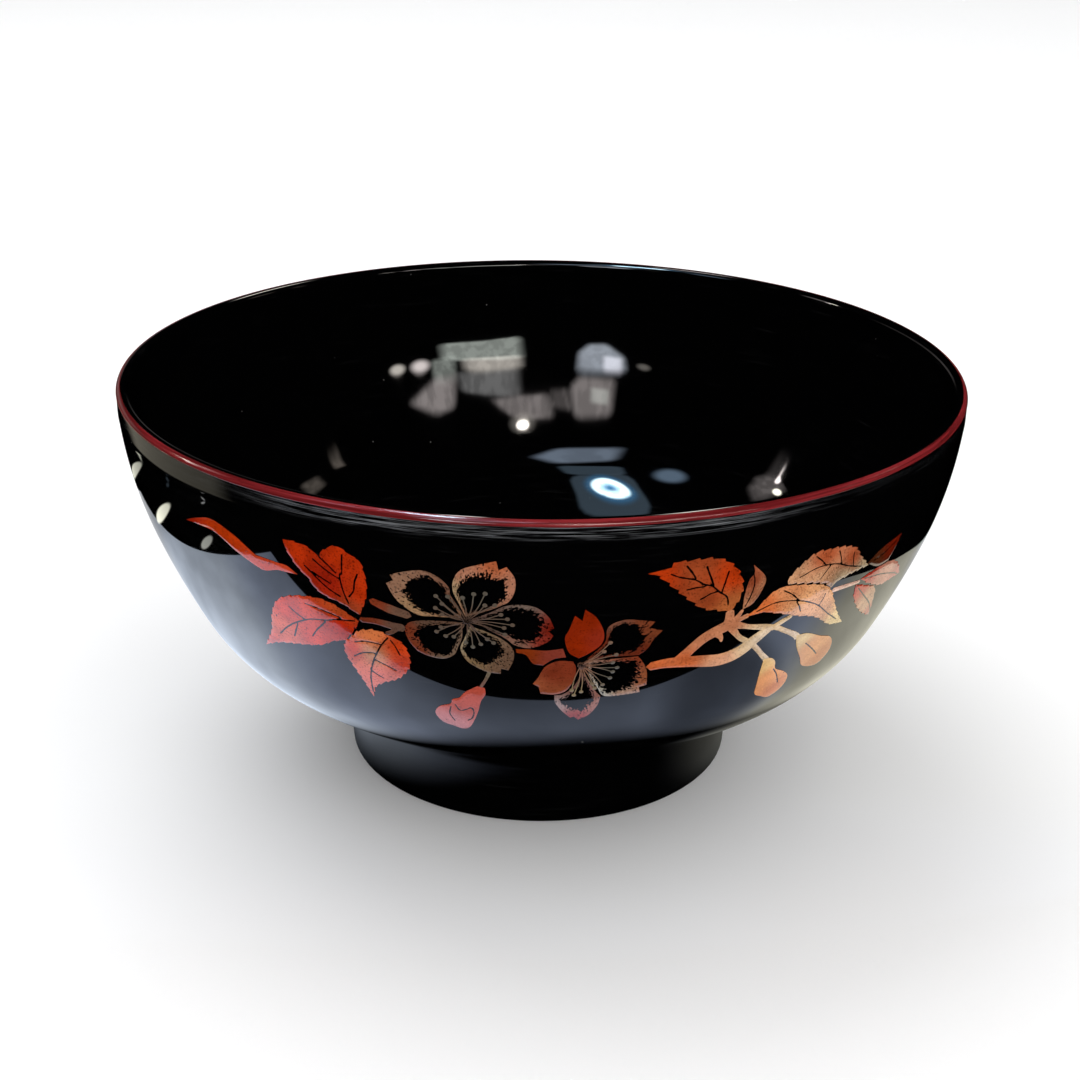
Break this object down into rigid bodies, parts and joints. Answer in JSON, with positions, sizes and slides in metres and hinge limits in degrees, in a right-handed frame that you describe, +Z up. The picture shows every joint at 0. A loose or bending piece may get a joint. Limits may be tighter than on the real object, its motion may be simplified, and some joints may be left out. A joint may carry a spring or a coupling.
{
  "type": "lacquered bowl",
  "caption": "Round lacquered wooden bowl on a ring foot, glossy black inside and out, with a red lip line and a painted branch of cherry blossom on one side.",
  "frame": {"origin": "centre of the circle that the foot stands on", "axes": "+Z up along the bowl's axis of turning, -Y towards the painted side, +X to the right seen from the painted side"},
  "size_m": [0.15, 0.15, 0.074],
  "materials": {
    "wood": "turned hardwood, hidden under the lacquer",
    "black_lacquer": "polished deep black lacquer, mirror gloss",
    "vermilion": "glossy dark red lacquer line",
    "orange_lacquer": "orange-red coloured lacquer with fine dark veins",
    "orange_gold": "orange lacquer sprinkled with gold powder",
    "pale_gold": "pale gold powder",
    "brown_gold": "dull brown gold powder",
    "stippled_gold": "gold powder edge that fades in dots into black lacquer"
  },
  "bodies": {
    "root": {"branch": "orange_gold", "bud_hanging": "orange_lacquer", "bud_lower": "orange_gold", "bud_upper": "orange_gold", "foot_lacquer": "black_lacquer", "inner_lacquer": "black_lacquer", "large_blossom_petal_bottom": "stippled_gold", "large_blossom_petal_lower_left": "stippled_gold", "large_blossom_petal_right": "stippled_gold", "large_blossom_petal_top": "stippled_gold", "large_blossom_petal_upper_left": "stippled_gold", "large_blossom_stamens": "pale_gold", "leaf_edge_on": "orange_lacquer", "leaf_far_down": "orange_gold", "leaf_far_right": "orange_gold", "leaf_far_up": "orange_lacquer", "leaf_hanging": "orange_lacquer", "leaf_left": "orange_lacquer", "leaf_right_behind": "orange_gold", "leaf_right_front": "orange_gold", "leaf_small_upright": "orange_gold", "leaf_top_right": "orange_lacquer", "leaf_two_lobed": "orange_lacquer", "outer_lacquer": "black_lacquer", "rim_line": "vermilion", "small_blossom_petal_bottom": "stippled_gold", "small_blossom_petal_cup": "orange_lacquer", "small_blossom_petal_lower_left": "orange_lacquer", "small_blossom_petal_right": "stippled_gold", "small_blossom_petal_top": "orange_lacquer", "small_blossom_petal_upper_right": "stippled_gold", "small_blossom_stamens": "pale_gold", "stalk_hanging": "pale_gold", "turned_core": "wood", "twig_behind_lower": "brown_gold", "twig_behind_upper": "brown_gold", "twig_far": "pale_gold"}
  },
  "joints": []
}
